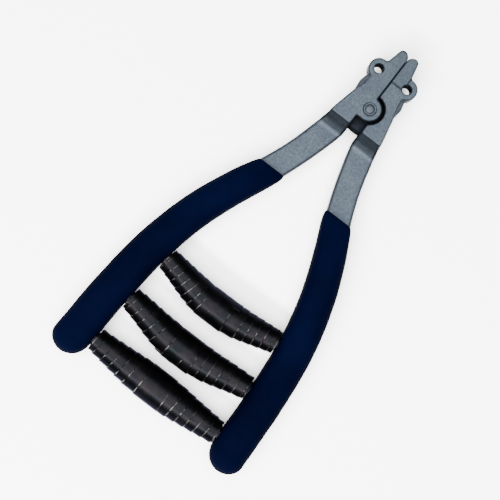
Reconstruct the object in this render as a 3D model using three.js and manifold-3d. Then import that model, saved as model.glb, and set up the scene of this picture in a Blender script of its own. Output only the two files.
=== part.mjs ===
// Starting clamp for stringing rackets: two cast levers on one pivot, three double volute springs
// that push the handles apart and so press the jaws together, and dipped grips over the handles.
//
// Millimetres. The tool lies on its grips: +X runs from the handles to the jaws, +Y is the side of
// the left lever, +Z is up. All pieces are drawn around the pivot axis, with Z = 0 in the middle of
// the handles, and the group at the end moves that frame to the centre of the footprint.

import * as THREE from "three";
import { mergeVertices } from "three/addons/utils/BufferGeometryUtils.js";
import Module from "manifold-3d";

const wasm = await Module();
wasm.setup();

// ---- driving dimensions -------------------------------------------------------------------------

const TIP_X = 29.35; // tip of the jaws, from the pivot
const END_X = -165.4; // rear end of the grips
const CLEARANCE = 0.3; // between pieces that touch on the real tool
const JAW_GAP = 0.12; // left between the closed jaws

const HEAD_TOP = 7.5; // the head stands above the handles
const HEAD_BOTTOM = -1.5;
const LAP_Z = 3.0; // the two levers are halved onto each other at this height
const ARM_HALF_THICKNESS = 4.0;
const EDGE_ROUND = 0.45; // softened edge of the castings

const JOG_START = -9.7; // crease where the arm leaves the head
const JOG_LENGTH = 6.6;
const JOG_FLAT = 0.5; // share of it that is a flat slope

const BOSS_RADIUS = 5.25; // upper lap, on the left lever
const BOSS_POCKET_RADIUS = 6.7; // pocket round it, in the right lever
const DISC_RADIUS = 9.2; // lower lap, on the right lever
const TONGUE_RADIUS = 11.3; // rear tongue of the lower lap, which ends the squeeze
const TONGUE_ANGLES = [152, 212]; // degrees, closed
const SQUEEZE = 12; // degrees of travel

const EYE = new THREE.Vector2(16.4, 7.6); // eyelet ear
const EAR_RADIUS = 4.65;
const EYE_RADIUS = 2.1;

const PIN_RADIUS = 1.95;
const BUSH_INNER = 2.05;
const BUSH_OUTER = 2.65;
const PIN_HEAD_RADIUS = 3.6;
const PIN_HEAD_DEPTH = 1.2;

const DIP_X = -45.4; // straight edge of the dipped coat
const CORE_END_X = -157.5; // rear end of the cast handle inside the grip
const GRIP_HALF_THICKNESS = 8.8;

// Spring stations, front to rear: place along the handles, bow of the axis, radius of the widest turn
// and tilt of the studs, which stand square to the handle's inner side.
const SPRINGS = [
  { name: "front", x: -104.8, bow: 4.5, belly: 8.2, tilt: 8 },
  { name: "middle", x: -128.4, bow: 4.1, belly: 8.4, tilt: 4 },
  { name: "rear", x: -152.0, bow: 0.9, belly: 8.65, tilt: 3 },
];
const SPRING_END_RADIUS = 5.2;
const STRIP_THICKNESS = 0.34;
const STRIP_WIDTH = 8.6;
const BELLY_WIDTH = 13;
const SPRING_TURNS = 6.3; // on each side of the belly
const END_PITCH = 0.15; // the last turn lies almost flat against the handle
const STEPS_PER_TURN = 14;

const STUD_RADIUS = 3.4;
const STUD_SHANK_RADIUS = 2.3;
const STUD_SHANK_LENGTH = 5.0;
const STUD_REACH = 7.0; // past the grip's surface, inside the spring

// ---- helpers ------------------------------------------------------------------------------------

const degrees = THREE.MathUtils.degToRad;
const lerp = THREE.MathUtils.lerp;

// A closed three.js geometry as a solid for joining and cutting.
function solid(geometry) {
  const bare = geometry.clone();
  bare.deleteAttribute("normal");
  bare.deleteAttribute("uv");
  const merged = mergeVertices(bare, 1e-4);
  const vertProperties = new Float32Array(merged.attributes.position.array);
  const corners = [];
  for (let i = 0; i < merged.index.count; i += 3) {
    const [a, b, c] = merged.index.array.slice(i, i + 3);
    if (a !== b && b !== c && c !== a) corners.push(a, b, c);
  }
  const triVerts = new Uint32Array(corners);
  return new wasm.Manifold(new wasm.Mesh({ numProp: 3, vertProperties, triVerts }));
}

function geometryOf(manifold) {
  const mesh = manifold.getMesh();
  const geometry = new THREE.BufferGeometry();
  geometry.setAttribute("position", new THREE.BufferAttribute(mesh.vertProperties, 3));
  geometry.setIndex(new THREE.BufferAttribute(mesh.triVerts, 1));
  geometry.computeVertexNormals();
  return geometry;
}

// The same geometry on the other side of the XZ plane, with its faces still pointing out.
function mirrored(geometry) {
  const copy = mergeVertices(geometry.clone(), 1e-4);
  copy.scale(1, -1, 1);
  const index = copy.index.array;
  for (let i = 0; i < index.length; i += 3) {
    [index[i + 1], index[i + 2]] = [index[i + 2], index[i + 1]];
  }
  copy.computeVertexNormals();
  return copy;
}

// A plan outline raised from one height to another, with its top and bottom edges softened.
function plate(shape, bottom, top, edge = 0, curveSegments = 10) {
  const geometry = new THREE.ExtrudeGeometry(shape, {
    depth: top - bottom - 2 * edge,
    bevelEnabled: edge > 0,
    bevelThickness: edge,
    bevelSize: edge,
    bevelOffset: -edge,
    bevelSegments: 2,
    curveSegments,
  });
  return geometry.translate(0, 0, bottom + edge);
}

function disc(radius, bottom, top, x = 0, y = 0, edge = 0) {
  const shape = new THREE.Shape().absarc(x, y, radius, 0, 2 * Math.PI, false);
  return plate(shape, bottom, top, edge, 24);
}

// A sector of a disc round the pivot axis.
function sector(radius, from, to) {
  const shape = new THREE.Shape();
  shape.moveTo(0, 0);
  shape.lineTo(radius * Math.cos(degrees(from)), radius * Math.sin(degrees(from)));
  shape.absarc(0, 0, radius, degrees(from), degrees(to), false);
  shape.closePath();
  return shape;
}

// A body of revolution about +Z from a profile of [radius, height] pairs that starts and ends on the axis.
function turned(profile, segments = 24) {
  const points = profile.map(([r, z]) => new THREE.Vector2(r, z));
  return geometryOf(solid(new THREE.LatheGeometry(points, segments).rotateX(Math.PI / 2)));
}

// The round cut for a hole between two heights on +Z.
function bore(radius, from, to) {
  return turned([[0, from], [radius, from], [radius, to], [0, to]], 20);
}

// A smooth function through [x, value] pairs listed from front to rear (falling x).
function smooth(pairs) {
  const slope = (i) => {
    const a = pairs[Math.max(i - 1, 0)];
    const b = pairs[Math.min(i + 1, pairs.length - 1)];
    return (b[1] - a[1]) / (b[0] - a[0]);
  };
  return (x) => {
    let i = 0;
    while (i < pairs.length - 2 && x < pairs[i + 1][0]) i++;
    const [x0, y0] = pairs[i];
    const [x1, y1] = pairs[i + 1];
    const h = x1 - x0;
    const t = THREE.MathUtils.clamp((x - x0) / h, 0, 1);
    const t2 = t * t;
    const t3 = t2 * t;
    return (
      (2 * t3 - 3 * t2 + 1) * y0 +
      (t3 - 2 * t2 + t) * h * slope(i) +
      (3 * t2 - 2 * t3) * y1 +
      (t3 - t2) * h * slope(i + 1)
    );
  };
}

// Skins a row of closed sections, each an equal number of Vector3, and closes both ends with a fan.
function loft(sections) {
  const n = sections[0].length;
  const ends = [sections[0], sections[sections.length - 1]];
  const points = sections.flat();
  const faces = [];
  for (let s = 0; s < sections.length - 1; s++) {
    for (let k = 0; k < n; k++) {
      const a = s * n + k;
      const b = s * n + ((k + 1) % n);
      faces.push(a, b, a + n, b, b + n, a + n);
    }
  }
  ends.forEach((end, which) => {
    const centre = end.reduce((sum, p) => sum.add(p), new THREE.Vector3()).divideScalar(n);
    const c = points.push(centre) - 1;
    const first = which * (sections.length - 1) * n;
    for (let k = 0; k < n; k++) {
      const a = first + k;
      const b = first + ((k + 1) % n);
      if (which) faces.push(c, a, b);
      else faces.push(c, b, a);
    }
  });
  const geometry = new THREE.BufferGeometry().setFromPoints(points);
  geometry.setIndex(faces);
  return geometry;
}

// A rounded rectangle in the plane X = x, walked so that a loft from front to rear faces out.
function section(x, yMid, halfWidth, zBottom, zTop, radius, cornerSteps) {
  const zMid = (zBottom + zTop) / 2;
  const halfHeight = (zTop - zBottom) / 2;
  const r = Math.min(radius, halfWidth * 0.98, halfHeight * 0.98);
  const points = [];
  for (const [sy, sz, start] of [[1, 1, 0], [-1, 1, 90], [-1, -1, 180], [1, -1, 270]]) {
    for (let k = 0; k <= cornerSteps; k++) {
      const angle = degrees(start + (90 * k) / cornerSteps);
      const y = yMid + sy * (halfWidth - r) + r * Math.cos(angle);
      const z = zMid + sz * (halfHeight - r) + r * Math.sin(angle);
      points.push(new THREE.Vector3(x, y, z));
    }
  }
  return points.reverse();
}

// ---- the handle's course ------------------------------------------------------------------------

// Middle of the left handle, seen from above.
const handleMiddle = smooth([
  [-6, 8.1], [-12.5, 8.35], [-18.5, 9.5], [-32.5, 13.5], [-46.6, 18.9], [-60.7, 25.5],
  [-74.7, 31.2], [-88.8, 35.6], [-104.8, 39.0], [-128.4, 41.5], [-152, 42.75], [END_X, 43.4],
]);

// Half widths across the handle, measured along Y.
const armHalfWidth = smooth([
  [-6, 4.7], [-9.5, 5.15], [-15, 5.9], [-32.5, 6.0], [-46.6, 6.3], [-60.7, 6.4],
  [-104.8, 6.3], [CORE_END_X, 6.4],
]);
const gripHalfWidth = smooth([
  [DIP_X, 6.75], [-47, 7.2], [-50.1, 7.65], [-60.7, 8.1], [-88.8, 8.2], [-128.4, 8.5], [-155, 8.5],
]);

// Half thickness of the cast handle inside the grip and of the grip itself.
const coreHalfThickness = smooth([
  [-6, ARM_HALF_THICKNESS], [-44, ARM_HALF_THICKNESS], [-52, 4.8], [-62, 6.0], [-72, 6.5],
  [CORE_END_X, 6.5],
]);
const gripHalfThickness = smooth([
  [DIP_X, 4.75], [-47, 5.3], [-52, 6.6], [-62, 8.1], [-72, GRIP_HALF_THICKNESS],
  [-155, GRIP_HALF_THICKNESS],
]);

// How far the arm has come down from the head at x: a crease at the head, a flat slope, and a soft
// foot where it meets the arm.
function jog(x) {
  const t = THREE.MathUtils.clamp((JOG_START - x) / JOG_LENGTH, 0, 1);
  const steepness = 2 / (1 + JOG_FLAT);
  if (t < JOG_FLAT) return steepness * t;
  return 1 - (steepness * (1 - t) ** 2) / (2 * (1 - JOG_FLAT));
}

function armSection(x, grow = 0) {
  const fall = jog(x);
  const half = coreHalfThickness(x);
  const top = lerp(HEAD_TOP, half, fall) + grow;
  const bottom = lerp(HEAD_BOTTOM, -half, fall) - grow;
  return section(x, handleMiddle(x), armHalfWidth(x) + grow, bottom, top, 1.1 + grow, 2);
}

// Evenly spaced stations from a to b, both included.
function stations(a, b, count) {
  return Array.from({ length: count + 1 }, (_, i) => lerp(a, b, i / count));
}

function handle(grow = 0, front = -7.5) {
  const xs = [
    JOG_START,
    ...stations(JOG_START - 0.6, JOG_START - JOG_LENGTH, 7),
    ...stations(-20, -44, 5),
    ...stations(-49, CORE_END_X - grow, 12),
  ];
  return loft([front, ...xs.filter((x) => x < front)].map((x) => armSection(x, grow)));
}

// ---- head ---------------------------------------------------------------------------------------

// Top face of the left half of the head, from the arm round the jaw, the ear and the neck.
function headOutline() {
  const inner = JAW_GAP / 2;
  const s = new THREE.Shape();
  s.moveTo(-10.2, 3.15);
  s.lineTo(-BOSS_RADIUS, 3.15);
  s.lineTo(-BOSS_RADIUS, inner);
  s.lineTo(TIP_X - 2.4, inner);
  s.quadraticCurveTo(TIP_X - 0.8, 0.7, TIP_X - 0.2, 2.2);
  s.quadraticCurveTo(TIP_X + 0.45, 4.5, TIP_X - 2.0, 5.05);
  s.lineTo(21.9, 6.2);
  s.quadraticCurveTo(21.2, 6.35, EYE.x + EAR_RADIUS, EYE.y - 0.1);
  s.absarc(EYE.x, EYE.y, EAR_RADIUS, 0, degrees(167), false);
  s.quadraticCurveTo(8.5, 8.65, 4.3, 10.35);
  s.lineTo(-7.4, 13.05);
  s.lineTo(-10.2, 13.5);
  s.closePath();
  return s;
}

// The neck swells outwards low on its side, under a broad slope that fades into the top face.
function neck() {
  const outer = [[13.3, 8.6], [11.6, 10.4], [8.4, 11.2], [5.0, 10.85], [3.0, 10.6]];
  const inset = [
    [HEAD_BOTTOM + 0.1, 0.8], [0, 0.1], [LAP_Z, 0], [LAP_Z + 1.4, 0.15], [HEAD_TOP - 1.6, 1.2],
    [HEAD_TOP - 0.35, 2.0],
  ];
  return loft(inset.map(([z, back]) => {
    const rim = outer.map(([x, y]) => new THREE.Vector3(x, y - back, z));
    return [new THREE.Vector3(3.4, 5, z), new THREE.Vector3(12.6, 5, z), ...rim];
  }));
}

// A six-sided block from four corners [x, y, z] below and four above, both counter-clockwise from above.
function block(low, high) {
  return loft([low, high].map((ring) => ring.map((p) => new THREE.Vector3(...p))));
}

// Takes the underside of the nose up towards the tip.
function noseTaper(taperStart) {
  const [x1, y0, y1, far] = [TIP_X + 2, -1, 8, -14];
  const [z0, z1] = [HEAD_BOTTOM, HEAD_BOTTOM + 1];
  return solid(block(
    [[taperStart, y0, far], [x1, y0, far], [x1, y1, far], [taperStart, y1, far]],
    [[taperStart, y0, z0], [x1, y0, z1], [x1, y1, z1], [taperStart, y1, z0]],
  ));
}

// The casting both levers start from, on the left side: head, neck, arm and handle core, with the
// eyelet and the blind holes for the spring studs.
function leverBlank() {
  let body = solid(plate(headOutline(), HEAD_BOTTOM, HEAD_TOP, EDGE_ROUND, 7));
  body = body.add(solid(neck()));
  body = body.add(solid(handle()));
  body = body.subtract(solid(disc(EYE_RADIUS, HEAD_BOTTOM - 1, HEAD_TOP + 1, EYE.x, EYE.y)));
  body = body.subtract(noseTaper(19));
  for (const spring of SPRINGS) {
    const hole = bore(STUD_SHANK_RADIUS + CLEARANCE, -STUD_SHANK_LENGTH - 0.4, 3);
    body = body.subtract(solid(placeStud(hole, spring)));
  }
  return body;
}

function leftLever() {
  const lapTop = LAP_Z + CLEARANCE / 2;
  const under = HEAD_BOTTOM - 2;
  let body = leverBlank();
  body = body.subtract(solid(disc(DISC_RADIUS + 0.4, under, lapTop)));
  const pocket = sector(TONGUE_RADIUS + 0.4, TONGUE_ANGLES[0] - SQUEEZE - 1, TONGUE_ANGLES[1]);
  body = body.subtract(solid(plate(pocket, under, lapTop)));
  body = body.add(solid(disc(BOSS_RADIUS, lapTop, HEAD_TOP, 0, 0, EDGE_ROUND)));
  body = body.subtract(solid(disc(BUSH_OUTER + 0.1, 0, HEAD_TOP + 1)));
  return geometryOf(body);
}

function rightLever() {
  const lapBottom = LAP_Z - CLEARANCE / 2;
  const tongue = sector(TONGUE_RADIUS, ...TONGUE_ANGLES);
  let body = solid(mirrored(geometryOf(leverBlank())));
  body = body.subtract(solid(disc(BOSS_POCKET_RADIUS, lapBottom, HEAD_TOP + 1)));
  body = body.add(solid(disc(DISC_RADIUS, HEAD_BOTTOM, lapBottom)));
  body = body.add(solid(plate(tongue, HEAD_BOTTOM, lapBottom)));
  body = body.subtract(castStep());
  body = body.subtract(solid(disc(PIN_RADIUS + CLEARANCE, HEAD_BOTTOM - 1, HEAD_TOP)));
  const sink = HEAD_BOTTOM + PIN_HEAD_DEPTH + CLEARANCE;
  body = body.subtract(solid(disc(PIN_HEAD_RADIUS + CLEARANCE, HEAD_BOTTOM - 1, sink)));
  return geometryOf(body);
}

// A shallow step across the right jaw, from the jaw's face to the eyelet: the nose beyond it is lower.
function castStep() {
  const [x0, x1, inner, outer, far] = [14.9, TIP_X + 2, 1, -6.4, HEAD_TOP + 4];
  const [low, high] = [HEAD_TOP - 0.45, HEAD_TOP - 0.3];
  return solid(block(
    [[x0, outer, low], [x1, outer, low], [x1, inner, high], [x0, inner, high]],
    [[x0, outer, far], [x1, outer, far], [x1, inner, far], [x0, inner, far]],
  ));
}

// ---- pivot --------------------------------------------------------------------------------------

function pivotPin() {
  const top = HEAD_TOP + 0.35;
  const under = HEAD_BOTTOM + 0.1;
  const seat = HEAD_BOTTOM + PIN_HEAD_DEPTH;
  return turned([
    [0, under], [PIN_HEAD_RADIUS - 0.3, under], [PIN_HEAD_RADIUS, under + 0.3],
    [PIN_HEAD_RADIUS, seat], [PIN_RADIUS, seat],
    [PIN_RADIUS, top - 0.5], [PIN_RADIUS - 0.35, top - 0.2], [PIN_RADIUS - 1.1, top - 0.03], [0, top],
  ]);
}

function pivotBush() {
  const bottom = LAP_Z + CLEARANCE / 2 + 0.05;
  const top = HEAD_TOP - 0.15;
  return turned([
    [BUSH_INNER, bottom], [BUSH_OUTER, bottom], [BUSH_OUTER, top], [BUSH_INNER + 0.15, top],
    [BUSH_INNER, top - 0.25], [BUSH_INNER, bottom],
  ]);
}

// ---- grips --------------------------------------------------------------------------------------

// The dipped coat: it starts at one straight line across the arm with a rounded lip, and its end
// runs out to the blunt point that the last drop leaves.
function leftGrip() {
  const lip = [[0, 0.28], [0.25, 0.12], [0.8, 0]];
  const skin = lip.map(([back, thin]) => {
    const x = DIP_X - back;
    return gripSection(x, gripHalfWidth(x) - thin * 1.6, gripHalfThickness(x) - thin * 1.6);
  });
  for (const x of stations(-47.6, -156.5, 17)) {
    skin.push(gripSection(x, gripHalfWidth(x), gripHalfThickness(x)));
  }
  for (const t of [0.2, 0.4, 0.58, 0.74, 0.87, 0.96, 1.0]) {
    const x = lerp(-156.5, END_X, t);
    const k = Math.max(Math.pow(1 - t ** 2.1, 0.62), 0.07);
    skin.push(gripSection(x, gripHalfWidth(-155) * k, GRIP_HALF_THICKNESS * k));
  }
  let body = solid(loft(skin));
  body = body.subtract(solid(handle(CLEARANCE, -44.4)));
  for (const spring of SPRINGS) {
    const hole = bore(STUD_RADIUS + CLEARANCE, -1.5, 4);
    body = body.subtract(solid(placeStud(hole, spring)));
  }
  return geometryOf(body);
}

function gripSection(x, halfWidth, halfThickness) {
  const radius = 0.74 * Math.min(halfWidth, halfThickness);
  const half = Math.min(halfThickness, GRIP_HALF_THICKNESS);
  return section(x, handleMiddle(x), halfWidth, -half, half, radius, 3);
}

// ---- spring studs -------------------------------------------------------------------------------

// Moves a turned piece so that its +Z points out of the handle's inner side at a spring station,
// with its origin on the cast core's surface.
function placeStud(geometry, spring) {
  geometry.rotateX(Math.PI / 2);
  geometry.rotateZ(degrees(-spring.tilt));
  return geometry.translate(spring.x, handleMiddle(spring.x) - armHalfWidth(spring.x), 0);
}

function stud(spring) {
  const seat = gripHalfWidth(spring.x) - armHalfWidth(spring.x);
  const end = seat + STUD_REACH;
  const [shank, foot] = [STUD_SHANK_RADIUS, -STUD_SHANK_LENGTH];
  const geometry = turned([
    [0, foot], [shank - 0.4, foot], [shank, foot + 0.4], [shank, 0.3], [STUD_RADIUS, 0.3],
    [STUD_RADIUS, end - 1.4], [STUD_RADIUS - 0.5, end - 0.5], [STUD_RADIUS - 1.6, end], [0, end],
  ], 14);
  return placeStud(geometry, spring);
}

// ---- springs ------------------------------------------------------------------------------------

// Bends a straight spring, drawn along +Y round the origin, onto its bowed axis between the handles.
// It leaves each handle square to the handle's side.
function bow(point, spring, halfLength) {
  const s = point.y / halfLength;
  const foot = (Math.tan(degrees(spring.tilt)) * halfLength) / 2;
  const swell = spring.bow - foot;
  const w = 1 - s * s;
  const slope = (2 * s * (foot + 2 * swell * w)) / halfLength;
  const square = Math.hypot(1, slope);
  const x = spring.x - foot * w - swell * w * w + point.x / square;
  return new THREE.Vector3(x, point.y - (point.x * slope) / square, point.z);
}

// One half of the double volute: a strip wound inwards while each turn slides out past the last.
function voluteHalf(spring, halfLength, side) {
  const turns = SPRING_TURNS;
  const start = BELLY_WIDTH / 2 - 1.2;
  const travel = halfLength - start - STRIP_WIDTH / 2;
  const steps = Math.round(turns * STEPS_PER_TURN);
  const first = spring.belly - STRIP_THICKNESS - 0.05;
  const sections = [];
  for (let i = 0; i <= steps; i++) {
    const u = i / steps;
    const angle = side * (2 * Math.PI * turns * u + 0.9);
    const tuck = 0.3 * Math.max(0, 1 - i / 2);
    const outer = lerp(first, SPRING_END_RADIUS, u) + tuck;
    const turn = turns * u;
    const wound = Math.min(turn, turns - 1) + END_PITCH * Math.max(turn - turns + 1, 0);
    const middle = side * (start + (travel * wound) / (turns - 1 + END_PITCH));
    const corners = [[outer, -1], [outer, 1], [outer - STRIP_THICKNESS, 1], [outer - STRIP_THICKNESS, -1]];
    sections.push(corners.map(([r, edge]) => {
      const y = middle + (edge * STRIP_WIDTH) / 2;
      return bow(new THREE.Vector3(r * Math.cos(angle), y, r * Math.sin(angle)), spring, halfLength);
    }));
  }
  return loft(side > 0 ? sections : sections.map((ring) => ring.reverse()));
}

// The widest turn, which joins the two halves.
function bellyTurn(spring, halfLength) {
  const [inner, outer] = [spring.belly - STRIP_THICKNESS, spring.belly];
  const half = BELLY_WIDTH / 2;
  const profile = [[inner, -half], [outer, -half], [outer, half], [inner, half], [inner, -half]];
  const ring = turned(profile, STEPS_PER_TURN);
  ring.rotateX(-Math.PI / 2);
  const position = ring.attributes.position;
  for (let i = 0; i < position.count; i++) {
    const bent = bow(new THREE.Vector3().fromBufferAttribute(position, i), spring, halfLength);
    position.setXYZ(i, bent.x, bent.y, bent.z);
  }
  return ring;
}

function voluteSpring(spring) {
  const halfLength = handleMiddle(spring.x) - gripHalfWidth(spring.x) - CLEARANCE - 0.15;
  const body = solid(bellyTurn(spring, halfLength))
    .add(solid(voluteHalf(spring, halfLength, 1)))
    .add(solid(voluteHalf(spring, halfLength, -1)));
  return geometryOf(body);
}

// ---- materials ----------------------------------------------------------------------------------

const castMetal = new THREE.MeshStandardMaterial({ color: 0x7d8890, roughness: 0.5, metalness: 0.8 });
const dippedVinyl = new THREE.MeshStandardMaterial({ color: 0x050d24, roughness: 0.75, metalness: 0 });
const springSteel = new THREE.MeshStandardMaterial({ color: 0x24242a, roughness: 0.3, metalness: 0.9 });
const pinSteel = new THREE.MeshStandardMaterial({ color: 0x5d6570, roughness: 0.4, metalness: 0.9 });

// ---- assembly -----------------------------------------------------------------------------------

const tool = new THREE.Group();
tool.position.set(-(TIP_X + END_X) / 2, 0, GRIP_HALF_THICKNESS);

function add(name, geometry, material) {
  const mesh = new THREE.Mesh(geometry, material);
  mesh.name = name;
  tool.add(mesh);
}

add("left_lever", leftLever(), castMetal);
add("right_lever", rightLever(), castMetal);
add("pivot_pin", pivotPin(), pinSteel);
add("pivot_bush", pivotBush(), pinSteel);

const grip = leftGrip();
add("left_grip", grip, dippedVinyl);
add("right_grip", mirrored(grip), dippedVinyl);

for (const spring of SPRINGS) {
  const peg = stud(spring);
  add(`${spring.name}_stud_left`, peg, pinSteel);
  add(`${spring.name}_stud_right`, mirrored(peg), pinSteel);
  add(`${spring.name}_spring`, voluteSpring(spring), springSteel);
}

export default tool;
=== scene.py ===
"""Starting clamp for stringing rackets: looks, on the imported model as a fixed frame.

The CAD levers, pin, bush and studs stay and get cast and turned finishes. The dipped grips and the
three double volute springs are made again here with finer skins. Blender works in metres in the row
frame: +X towards the jaws, +Y the side of the left lever, +Z up. The clamp's own numbers are in mm,
and its places are measured from the pivot, at the middle height of the handles.
"""

import math

import bpy
from mathutils import Matrix, Vector, noise


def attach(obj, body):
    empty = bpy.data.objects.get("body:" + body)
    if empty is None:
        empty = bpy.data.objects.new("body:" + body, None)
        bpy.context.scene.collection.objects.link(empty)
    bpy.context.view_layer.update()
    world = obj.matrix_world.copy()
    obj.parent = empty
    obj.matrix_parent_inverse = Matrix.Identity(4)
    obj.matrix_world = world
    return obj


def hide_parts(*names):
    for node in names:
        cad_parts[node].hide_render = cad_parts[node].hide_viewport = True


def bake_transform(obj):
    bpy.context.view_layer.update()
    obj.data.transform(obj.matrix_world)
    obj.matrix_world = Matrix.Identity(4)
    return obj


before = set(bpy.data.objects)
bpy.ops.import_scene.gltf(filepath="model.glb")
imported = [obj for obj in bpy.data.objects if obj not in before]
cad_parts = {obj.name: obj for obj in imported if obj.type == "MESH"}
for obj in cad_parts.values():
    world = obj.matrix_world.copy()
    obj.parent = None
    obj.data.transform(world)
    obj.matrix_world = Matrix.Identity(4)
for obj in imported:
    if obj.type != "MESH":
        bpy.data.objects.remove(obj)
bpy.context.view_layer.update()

MM = 0.001
PIVOT_X = 68.025  # the pivot axis in the row frame
MID_Z = 8.8  # the middle of the handles above the table

# ---- numbers shared with the CAD model ----------------------------------------------------------

DIP_X = -45.4  # straight front edge of the dipped coats
GRIP_TURN_X = -156.5  # where the grips start to round off at the rear
GRIP_END_X = -165.4
GRIP_HALF = 8.8  # half the thickness of a grip
# Springs: place along the handles, bow, radius of the belly, degrees of tilt at the ends, and the
# angle in radians at which the strip starts.
SPRINGS = [
    {"name": "front", "x": -104.8, "bow": 4.5, "belly": 8.2, "tilt": 8, "start": 0.9},
    {"name": "middle", "x": -128.4, "bow": 4.1, "belly": 8.4, "tilt": 4, "start": 2.6},
    {"name": "rear", "x": -152.0, "bow": 0.9, "belly": 8.65, "tilt": 3, "start": 4.1},
]
SPRING_END = 5.2  # radius of the smallest turn
STRIP_WIDTH = 8.6
BELLY_WIDTH = 13.0
TURNS = 6.3  # on each side of the belly

# ---- numbers of the castings' finish ------------------------------------------------------------

BLAST_VOXEL = 0.3
BLAST_PASSES = 2
REGAIN = 0.04  # swelling that keeps the seam between the closed jaws fine
NOSE_TRIM = -0.0001  # stretch factor that draws the noses in by 0.05
PAINTED_SLOPE_SPAN = (-18.525, -9.425)  # where painted shade darkens the slope between the arms and the head, with a painted highlight at its foot

# ---- numbers of the grips' skin -----------------------------------------------------------------

LIP = 0.75  # rounding of the coat's front edge
LIP_STEPS = 6
COAT_STEPS = 110
END_STEPS = 24
CORNER_STEPS = 9
DENT = 0.2  # the hand-dipped coat sinks this far here and there
DENT_SPACING = 7  # mm from one dent to the next, more or less
FRONT_CORNER, REAR_CORNER = 0.42, 0.74  # corner radius, as a share of the smaller half size
CORNER_CHANGE = 16  # length over which the boxy front section turns into the rounder one
END_BULGE, END_POWER = 2.3, 0.6  # how full the blunt rear end stays towards its tip
END_TIP = 0.04  # size of the last ring, as a share of the grip's full section

# ---- numbers of the springs' skin ---------------------------------------------------------------

STRIP = 0.38  # thickness of the strip
EDGE_ROLL = 0.13  # rounding of the strip's edges
STEPS_PER_TURN = 44
SPRING_GAP = 0.3  # between a spring's end and the grip
END_PITCH = 0.12  # the last turn lies almost flat against the handle
FIRST_TURN_INSET = 1.2  # the middle of the first turn lies this far inside the belly's edge
BELLY_SINK, FIRST_TURN_SINK = 0.02, 0.06  # below the inner face of the belly's lapping end
BELLY_TURNS = 1.05
BELLY_START = 1.45 * math.pi  # the belly's two ends lie underneath
BELLY_RISE, RISE_FROM = 0.4, 0.75  # its end rises this far over its start, from this turn on
RUBBED_AND_LIT_SIDE = math.radians(120)  # bright turn edges are kept to the upper side of each spring, towards the rear, where the light falls: partly wear, partly painted highlight
RUBBED_AND_LIT_POWER = 3

# ---- numbers of the stage, in metres ------------------------------------------------------------

FLOOR_HALF = 3.0
FLOOR_DROP = 0.0004  # the floor stays just clear of the grips


def smooth(pairs):
    """A smooth function through (x, value) pairs listed from front to rear."""

    def slope(i):
        a, b = pairs[max(i - 1, 0)], pairs[min(i + 1, len(pairs) - 1)]
        return (b[1] - a[1]) / (b[0] - a[0])

    def value(x):
        i = 0
        while i < len(pairs) - 2 and x < pairs[i + 1][0]:
            i += 1
        (x0, y0), (x1, y1) = pairs[i], pairs[i + 1]
        h = x1 - x0
        t = min(max((x - x0) / h, 0), 1)
        a = (2 * t**3 - 3 * t**2 + 1) * y0 + (t**3 - 2 * t**2 + t) * h * slope(i)
        b = (3 * t**2 - 2 * t**3) * y1 + (t**3 - t**2) * h * slope(i + 1)
        return a + b

    return value


handle_middle = smooth([
    (-6, 8.1), (-12.5, 8.35), (-18.5, 9.5), (-32.5, 13.5), (-46.6, 18.9), (-60.7, 25.5),
    (-74.7, 31.2), (-88.8, 35.6), (-104.8, 39.0), (-128.4, 41.5), (-152, 42.75), (GRIP_END_X, 43.4),
])
grip_half_width = smooth([
    (DIP_X, 6.75), (-47, 7.2), (-50.1, 7.65), (-60.7, 8.1), (-88.8, 8.2), (-128.4, 8.48), (-155, 8.48),
])
grip_half_thickness = smooth([
    (DIP_X, 4.75), (-47, 5.3), (-52, 6.6), (-62, 8.1), (-72, GRIP_HALF), (-155, GRIP_HALF),
])


def lerp(a, b, t):
    return a + (b - a) * t


def row_x(x):
    """The place along X in the row frame, in metres, of a point x mm from the pivot."""
    return (x + PIVOT_X) * MM


def place(x, y, z):
    """A point measured from the pivot in mm, as a place in the row frame."""
    return Vector((row_x(x), y * MM, (z + MID_Z) * MM))


# ---- meshes -------------------------------------------------------------------------------------


def skin(name, rings, material, flip=False, wear_and_glint=None):
    """A closed skin over a row of closed rings, with a fan at each end.

    The brightening of the strip's edges, partly wear and partly painted highlight, is a value for each
    point of the rings, and the middles of the two fans have none.
    """
    n = len(rings[0])
    verts = [p for ring in rings for p in ring]
    faces = []
    for s in range(len(rings) - 1):
        for k in range(n):
            a, b = s * n + k, s * n + (k + 1) % n
            faces.append((a, b, b + n, a + n))
    for first, end in ((0, rings[0]), ((len(rings) - 1) * n, rings[-1])):
        centre = sum(end, Vector()) / n
        verts.append(centre)
        c = len(verts) - 1
        for k in range(n):
            a, b = first + k, first + (k + 1) % n
            faces.append((c, a, b) if first else (c, b, a))
    if flip:
        faces = [tuple(reversed(f)) for f in faces]
    mesh = bpy.data.meshes.new(name)
    mesh.from_pydata([tuple(v) for v in verts], [], faces)
    mesh.shade_smooth()
    if wear_and_glint is not None:
        layer = mesh.attributes.new("wear_and_glint", "FLOAT", "POINT")
        layer.data.foreach_set("value", wear_and_glint + [0.0, 0.0])
    mesh.materials.append(material)
    obj = bpy.data.objects.new(name, mesh)
    bpy.context.scene.collection.objects.link(obj)
    return obj


def joined(name, objs):
    """One object from several."""
    bpy.ops.object.select_all(action="DESELECT")
    for obj in objs:
        obj.select_set(True)
    bpy.context.view_layer.objects.active = objs[0]
    bpy.ops.object.join()
    objs[0].name = name
    return objs[0]


# ---- materials ----------------------------------------------------------------------------------


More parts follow.
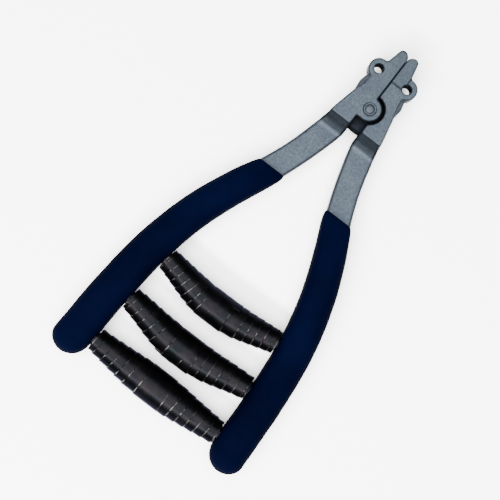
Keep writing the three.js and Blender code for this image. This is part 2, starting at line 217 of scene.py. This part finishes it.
class Nodes:
    """Short words for building one node material."""

    def __init__(self, name, **constants):
        """constants are shader sockets that are the same all over, with _ for each space."""
        self.material = bpy.data.materials.new(name)
        self.material.use_nodes = True
        self.tree = self.material.node_tree
        self.shader = self.tree.nodes["Principled BSDF"]
        for key, value in constants.items():
            self.shader.inputs[key.replace("_", " ")].default_value = value
        self.object = self.add("ShaderNodeTexCoord").outputs["Object"]

    def add(self, kind, **settings):
        node = self.tree.nodes.new(kind)
        for key, value in settings.items():
            setattr(node, key, value)
        return node

    def feed(self, socket, value):
        """Gives a socket another node's output, a colour or a number."""
        if isinstance(value, bpy.types.NodeSocket):
            self.tree.links.new(value, socket)
        elif isinstance(value, tuple):
            socket.default_value = (*value, 1)
        else:
            socket.default_value = value

    def surface(self, colour, roughness):
        self.feed(self.shader.inputs["Base Color"], colour)
        self.feed(self.shader.inputs["Roughness"], roughness)
        return self.material

    def noise(self, scale, detail=3.0, rough=0.55):
        """scale is the number of blots in a metre."""
        node = self.add("ShaderNodeTexNoise")
        node.inputs["Scale"].default_value = scale
        node.inputs["Detail"].default_value = detail
        node.inputs["Roughness"].default_value = rough
        self.feed(node.inputs["Vector"], self.object)
        return node.outputs["Fac"]

    def ramp(self, value, *stops):
        """stops are (position, colour or grey level)."""
        node = self.add("ShaderNodeValToRGB")
        elements = node.color_ramp.elements
        while len(elements) < len(stops):
            elements.new(0.5)
        for element, (position, colour) in zip(elements, stops):
            element.position = position
            element.color = (*colour, 1) if isinstance(colour, tuple) else (colour,) * 3 + (1,)
        self.feed(node.inputs["Fac"], value)
        return node.outputs["Color"]

    def mix(self, factor, a, b, blend="MIX"):
        """A mix of two colours, whose sockets come after those for numbers and vectors."""
        node = self.add("ShaderNodeMix", data_type="RGBA", blend_type=blend)
        for socket, value in ((node.inputs[0], factor), (node.inputs[6], a), (node.inputs[7], b)):
            self.feed(socket, value)
        return node.outputs[2]

    def math(self, operation, a, b):
        node = self.add("ShaderNodeMath", operation=operation)
        self.feed(node.inputs[0], a)
        self.feed(node.inputs[1], b)
        return node.outputs[0]

    def bump(self, height, strength, distance):
        """distance is in metres."""
        node = self.add("ShaderNodeBump")
        node.inputs["Strength"].default_value = strength
        node.inputs["Distance"].default_value = distance
        self.feed(node.inputs["Height"], height)
        self.feed(self.shader.inputs["Normal"], node.outputs["Normal"])

    def attribute(self, name):
        return self.add("ShaderNodeAttribute", attribute_name=name).outputs["Fac"]

    def along(self, axis, start, end):
        """0 at start to 1 at end along an axis of the row frame, in metres."""
        parts = self.add("ShaderNodeSeparateXYZ")
        self.feed(parts.inputs[0], self.object)
        node = self.add("ShaderNodeMapRange")
        node.inputs["From Min"].default_value = start
        node.inputs["From Max"].default_value = end
        self.feed(node.inputs["Value"], parts.outputs[axis])
        return node.outputs["Result"]

    def occlusion(self, distance):
        node = self.add("ShaderNodeAmbientOcclusion", samples=8)
        node.inputs["Distance"].default_value = distance
        return node.outputs["AO"]

    def pointiness(self):
        return self.add("ShaderNodeNewGeometry").outputs["Pointiness"]


def cast_metal():
    """Bead-blasted casting: fine grain, faint blue blotches, rougher where sheltered, painted shade on
    its edges and creases, in the lap and in the eyelets, and on the slope behind the head, with a
    painted highlight at the slope's foot."""
    m = Nodes(
        "cast_metal", Metallic=0.45, Specular_Tint=(0.25, 0.3, 0.35, 1), Specular_IOR_Level=0.05
    )
    grain = m.noise(2300, 4, 0.75)
    blotch = m.noise(140, 3, 0.5)
    dull, plain, bright = (0.0098, 0.0130, 0.0158), (0.0157, 0.0200, 0.0242), (0.0320, 0.0395, 0.0460)
    blue = (0.0150, 0.0178, 0.0262)
    base = m.ramp(grain, (0.3, dull), (0.5, plain), (0.72, bright))
    colour = m.mix(m.ramp(blotch, (0.35, 0.0), (0.7, 0.4)), base, blue)
    shelter = m.occlusion(0.010)
    speckle = m.ramp(m.noise(800, 2, 0.5), (0.35, 0.9), (0.65, 1.1))
    # painted shade: the colour darkens where ambient occlusion finds recesses, such as the lap and the
    # eyelets
    painted_recess_shade = m.ramp(shelter, (0.35, 0.12), (0.72, 0.45), (0.95, 1.0))
    # painted shade: convex edges and creases are darkened by their pointiness, standing in for the
    # dark surroundings they reflect
    edge = m.ramp(m.pointiness(), (0.42, 0.45), (0.485, 1.0), (0.51, 1.0), (0.54, 0.45))
    # painted shadow on the slope behind the head, and a painted highlight at its foot, set along X
    slope = m.ramp(
        m.along("X", *map(row_x, PAINTED_SLOPE_SPAN)),
        (0.0, 1.0), (0.18, 1.6), (0.32, 0.42), (0.48, 0.26), (0.92, 0.32), (0.95, 1.0),
    )
    for shade in (speckle, painted_recess_shade, edge, slope):
        colour = m.mix(1.0, colour, shade, "MULTIPLY")
    grime = m.ramp(shelter, (0.6, 0.5), (0.92, 0.0))
    m.bump(grain, 0.3, 0.00012)
    return m.surface(colour, m.math("ADD", m.ramp(blotch, (0.3, 0.34), (0.7, 0.43)), grime))


def turned_steel():
    """Oiled pin steel with a darker stain."""
    m = Nodes("turned_steel", Metallic=0.7)
    stain = m.noise(700, 4, 0.6)
    base = m.ramp(stain, (0.3, (0.009, 0.013, 0.018)), (0.65, (0.017, 0.023, 0.030)))
    m.bump(m.noise(1500, 3), 0.2, 0.00008)
    return m.surface(base, m.ramp(stain, (0.3, 0.52), (0.7, 0.64)))


def dipped_vinyl():
    """Matt plastisol coat: almost flat navy with a very fine skin and faint cloudiness."""
    m = Nodes("dipped_vinyl", Specular_IOR_Level=0.008)
    cloud = m.noise(45, 3, 0.5)
    fine = m.noise(1400, 4, 0.65)
    base = m.ramp(cloud, (0.3, (0.00002, 0.0002, 0.0026)), (0.7, (0.00006, 0.0005, 0.0048)))
    m.bump(fine, 0.35, 0.00006)
    return m.surface(base, m.ramp(fine, (0.3, 0.72), (0.7, 0.9)))


def spring_steel():
    """Blackened strip with a brown oil tint, bright along the edges of its turns on their lit upper
    side: partly wear, partly painted highlight.
    """
    m = Nodes(
        "spring_steel", Metallic=0.9, Specular_Tint=(0.45, 0.45, 0.5, 1), Specular_IOR_Level=0.1
    )
    oil = m.noise(170, 4, 0.6)
    rub = m.noise(520, 3, 0.6)
    black, brown, grey = (0.0012, 0.0018, 0.0018), (0.0022, 0.0022, 0.0027), (0.0042, 0.0036, 0.0038)
    base = m.ramp(oil, (0.3, black), (0.5, brown), (0.72, grey))
    # bright turn edges: partly wear, partly painted highlight on the side where the light falls
    worn_and_glinting = m.math("MULTIPLY", m.attribute("wear_and_glint"), m.ramp(rub, (0.45, 0.0), (0.6, 1.0)))
    m.bump(m.noise(900, 3), 0.15, 0.00005)
    roughness = m.ramp(oil, (0.3, 0.30), (0.7, 0.42))
    return m.surface(m.mix(worn_and_glinting, base, (0.16, 0.156, 0.150)), roughness)


def pale_floor():
    m = Nodes("pale_floor")
    return m.surface(m.ramp(m.noise(3, 2), (0.3, 0.94), (0.7, 0.96)), 0.9)


CAST = cast_metal()
TURNED = turned_steel()
VINYL = dipped_vinyl()
SPRING = spring_steel()


# ---- levers, pin, bush and studs: the CAD nodes with finishes -----------------------------------


def finish_node(name, material):
    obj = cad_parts[name]
    obj.data.materials.clear()
    obj.data.materials.append(material)
    return obj


def soften(obj):
    """Rounds a casting's edges the way blasting does.

    That would open the seam between the closed jaws, so the casting swells a little, and its noses
    are drawn in to stay inside the CAD box.
    """
    blast = obj.modifiers.new("blast", "REMESH")
    blast.mode = "VOXEL"
    blast.voxel_size = BLAST_VOXEL * MM
    blast.use_smooth_shade = True
    ease = obj.modifiers.new("ease", "SMOOTH")
    ease.factor = 0.5
    ease.iterations = BLAST_PASSES
    swell = obj.modifiers.new("swell", "DISPLACE")
    swell.mid_level = 0
    swell.strength = REGAIN * MM
    trim = obj.modifiers.new("trim", "SIMPLE_DEFORM")
    trim.deform_method = "STRETCH"
    trim.deform_axis = "X"
    trim.factor = NOSE_TRIM


for side in ("left", "right"):
    soften(finish_node(f"{side}_lever", CAST))
finish_node("pivot_pin", TURNED)
finish_node("pivot_bush", TURNED)
for spring in SPRINGS:
    for side in ("left", "right"):
        finish_node(f"{spring['name']}_stud_{side}", SPRING)


# ---- grips --------------------------------------------------------------------------------------


def grip_ring(x, half_width, half_thickness, side):
    """A rounded box round the handle's middle line at x, with the coat's dents."""
    half = min(half_thickness, GRIP_HALF)
    swollen = min(max((DIP_X - x) / CORNER_CHANGE, 0), 1)
    radius = lerp(FRONT_CORNER, REAR_CORNER, swollen) * min(half_width, half)
    ring = []
    for sy, sz, start in ((1, 1, 0), (-1, 1, 90), (-1, -1, 180), (1, -1, 270)):
        for k in range(CORNER_STEPS + 1):
            angle = math.radians(start + 90 * k / CORNER_STEPS)
            y = sy * (half_width - radius) + radius * math.cos(angle)
            z = sz * (half - radius) + radius * math.sin(angle)
            lump = noise.noise(Vector((x, side * y, z)) / DENT_SPACING)
            sink = 1 - DENT * (0.5 + 0.5 * lump) / half_width
            ring.append(place(x, side * (handle_middle(x) + sink * y), sink * z))
    return ring


def grip(name, side):
    """The dipped coat: a thick rounded lip at its straight front edge, and a blunt rear end."""
    rings = []
    for k in range(LIP_STEPS + 1):
        turn = math.radians(90 * k / LIP_STEPS)
        x = DIP_X - LIP * (1 - math.cos(turn))
        thin = LIP * (1 - math.sin(turn))
        rings.append(grip_ring(x, grip_half_width(x) - thin, grip_half_thickness(x) - thin, side))
    for k in range(1, COAT_STEPS + 1):
        x = lerp(DIP_X - LIP, GRIP_TURN_X, k / COAT_STEPS)
        rings.append(grip_ring(x, grip_half_width(x), grip_half_thickness(x), side))
    for k in range(1, END_STEPS + 1):
        t = math.sin(math.radians(90 * k / END_STEPS))
        x = lerp(GRIP_TURN_X, GRIP_END_X, t)
        f = max((1 - t**END_BULGE) ** END_POWER, END_TIP)
        rings.append(grip_ring(x, grip_half_width(GRIP_TURN_X) * f, GRIP_HALF * f, side))
    obj = skin(name, rings, VINYL, flip=side > 0)
    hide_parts(name.replace("_coat", ""))
    return obj


for side, word in ((1, "left"), (-1, "right")):
    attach(grip(f"{word}_grip_coat", side), f"{word}_side")


# ---- springs ------------------------------------------------------------------------------------


def bow(x, y, z, spring, half_length):
    """Bends a straight spring along +Y onto its bowed axis, square to the handles at both ends."""
    s = y / half_length  # -1 at the right handle to 1 at the left one
    foot = math.tan(math.radians(spring["tilt"])) * half_length / 2
    swell = spring["bow"] - foot
    w = 1 - s * s
    slope = 2 * s * (foot + 2 * swell * w) / half_length
    square = math.hypot(1, slope)
    return place(spring["x"] - foot * w - swell * w * w + x / square, y - x * slope / square, z)


def strip_profile(width):
    """Cross-section of the strip: (outward, along, edge brightening that is partly wear and partly
    painted highlight), with rolled edges.
    """
    h, t, r = width / 2, STRIP, EDGE_ROLL
    return [
        (t - r, -h, 1.0), (t, -h + r, 0.9), (t, -h + 3 * r, 0.0), (t, h - 3 * r, 0.0),
        (t, h - r, 0.9), (t - r, h, 1.0), (0, h, 0.4), (0, -h, 0.4),
    ]


def strip(name, spring, half_length, path, width):
    """A strip wound along path, a list of (angle, inner radius, place along the axis)."""
    profile = strip_profile(width)
    rings, wear_and_glint = [], []
    for angle, inner, middle in path:
        ring = []
        # painted highlight: the bright edges fade away from the side where the light falls
        rubbed_and_lit = max(math.cos(angle - RUBBED_AND_LIT_SIDE), 0) ** RUBBED_AND_LIT_POWER
        for outward, along, edge in profile:
            r = inner + outward
            x, y, z = r * math.cos(angle), middle + along, r * math.sin(angle)
            ring.append(bow(x, y, z, spring, half_length))
            wear_and_glint.append(edge * rubbed_and_lit)
        rings.append(ring)
    rising = path[-1][0] > path[0][0]
    return skin(name, rings, SPRING, flip=rising, wear_and_glint=wear_and_glint)


def half_path(spring, half_length, side):
    """One cone of a spring, wound from the belly to a handle with ever smaller turns."""
    start = BELLY_WIDTH / 2 - FIRST_TURN_INSET
    travel = half_length - start - STRIP_WIDTH / 2
    steps = round(TURNS * STEPS_PER_TURN)
    path = []
    for i in range(steps + 1):
        u = i / steps
        turn = TURNS * u
        wound = min(turn, TURNS - 1) + END_PITCH * max(turn - TURNS + 1, 0)
        outer = lerp(spring["belly"] - STRIP - FIRST_TURN_SINK, SPRING_END, u)
        middle = side * (start + travel * wound / (TURNS - 1 + END_PITCH))
        path.append((side * 2 * math.pi * turn + spring["start"], outer - STRIP, middle))
    return path


def belly_path(spring):
    """The wide middle turn, which covers the cones' first turns and laps over its own start."""
    steps = round(BELLY_TURNS * STEPS_PER_TURN)
    path = []
    for i in range(steps + 1):
        turn = BELLY_TURNS * i / steps
        lap = BELLY_RISE * max(turn - RISE_FROM, 0) / (BELLY_TURNS - RISE_FROM)
        inner = spring["belly"] - 2 * STRIP - BELLY_SINK + lap
        path.append((BELLY_START + 2 * math.pi * turn, inner, 0))
    return path


def volute(spring):
    half_length = handle_middle(spring["x"]) - grip_half_width(spring["x"]) - SPRING_GAP
    parts = []
    for side in (1, -1):
        path = half_path(spring, half_length, side)
        parts.append(strip(f"half_{side}", spring, half_length, path, STRIP_WIDTH))
    parts.append(strip("belly", spring, half_length, belly_path(spring), BELLY_WIDTH))
    name = f"{spring['name']}_volute"
    obj = joined(name, parts)
    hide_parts(f"{spring['name']}_spring")
    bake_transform(obj)


for spring in SPRINGS:
    volute(spring)


# ---- floor, light and camera --------------------------------------------------------------------


def floor():
    mesh = bpy.data.meshes.new("floor")
    r = FLOOR_HALF
    mesh.from_pydata([(-r, -r, 0), (r, -r, 0), (r, r, 0), (-r, r, 0)], [], [(0, 1, 2, 3)])
    mesh.materials.append(pale_floor())
    obj = bpy.data.objects.new("floor", mesh)
    bpy.context.scene.collection.objects.link(obj)
    obj.location.z = -FLOOR_DROP


def softbox(name, place_at, aim, size, power):
    light = bpy.data.lights.new(name, "AREA")
    light.shape = "RECTANGLE"
    light.size, light.size_y = size
    light.energy = power
    obj = bpy.data.objects.new(name, light)
    bpy.context.scene.collection.objects.link(obj)
    obj.location = place_at
    obj.rotation_euler = (Vector(aim) - Vector(place_at)).to_track_quat("-Z", "Y").to_euler()


def studio():
    """Cool light from all round, a large softbox overhead and a narrow one behind the handles."""
    world = bpy.data.worlds.new("studio")
    bpy.context.scene.world = world
    world.use_nodes = True
    background = world.node_tree.nodes["Background"]
    background.inputs["Color"].default_value = (0.93, 0.96, 1.0, 1)
    background.inputs["Strength"].default_value = 0.65
    softbox("key", (-0.06, 0.02, 1.3), (-0.02, 0, 0), (1.2, 1.2), 100)
    softbox("strip", (-0.84, 0.02, 1.0), (-0.02, 0, 0), (1.2, 0.2), 75)


def camera():
    """Straight above the clamp, turned so that the jaws point to the upper right."""
    data = bpy.data.cameras.new("camera")
    data.lens = 70.5
    data.sensor_width = 36
    data.clip_start, data.clip_end = 0.01, 20
    obj = bpy.data.objects.new("camera", data)
    bpy.context.scene.collection.objects.link(obj)
    right, up, back = (0.610, -0.792, 0), (0.792, 0.610, 0), (0, 0, 1)
    turn = Matrix((right, up, back)).transposed().to_4x4()
    obj.matrix_world = Matrix.Translation(place(-79.8, 3.95, 430)) @ turn
    bpy.context.scene.camera = obj


floor()
studio()
camera()
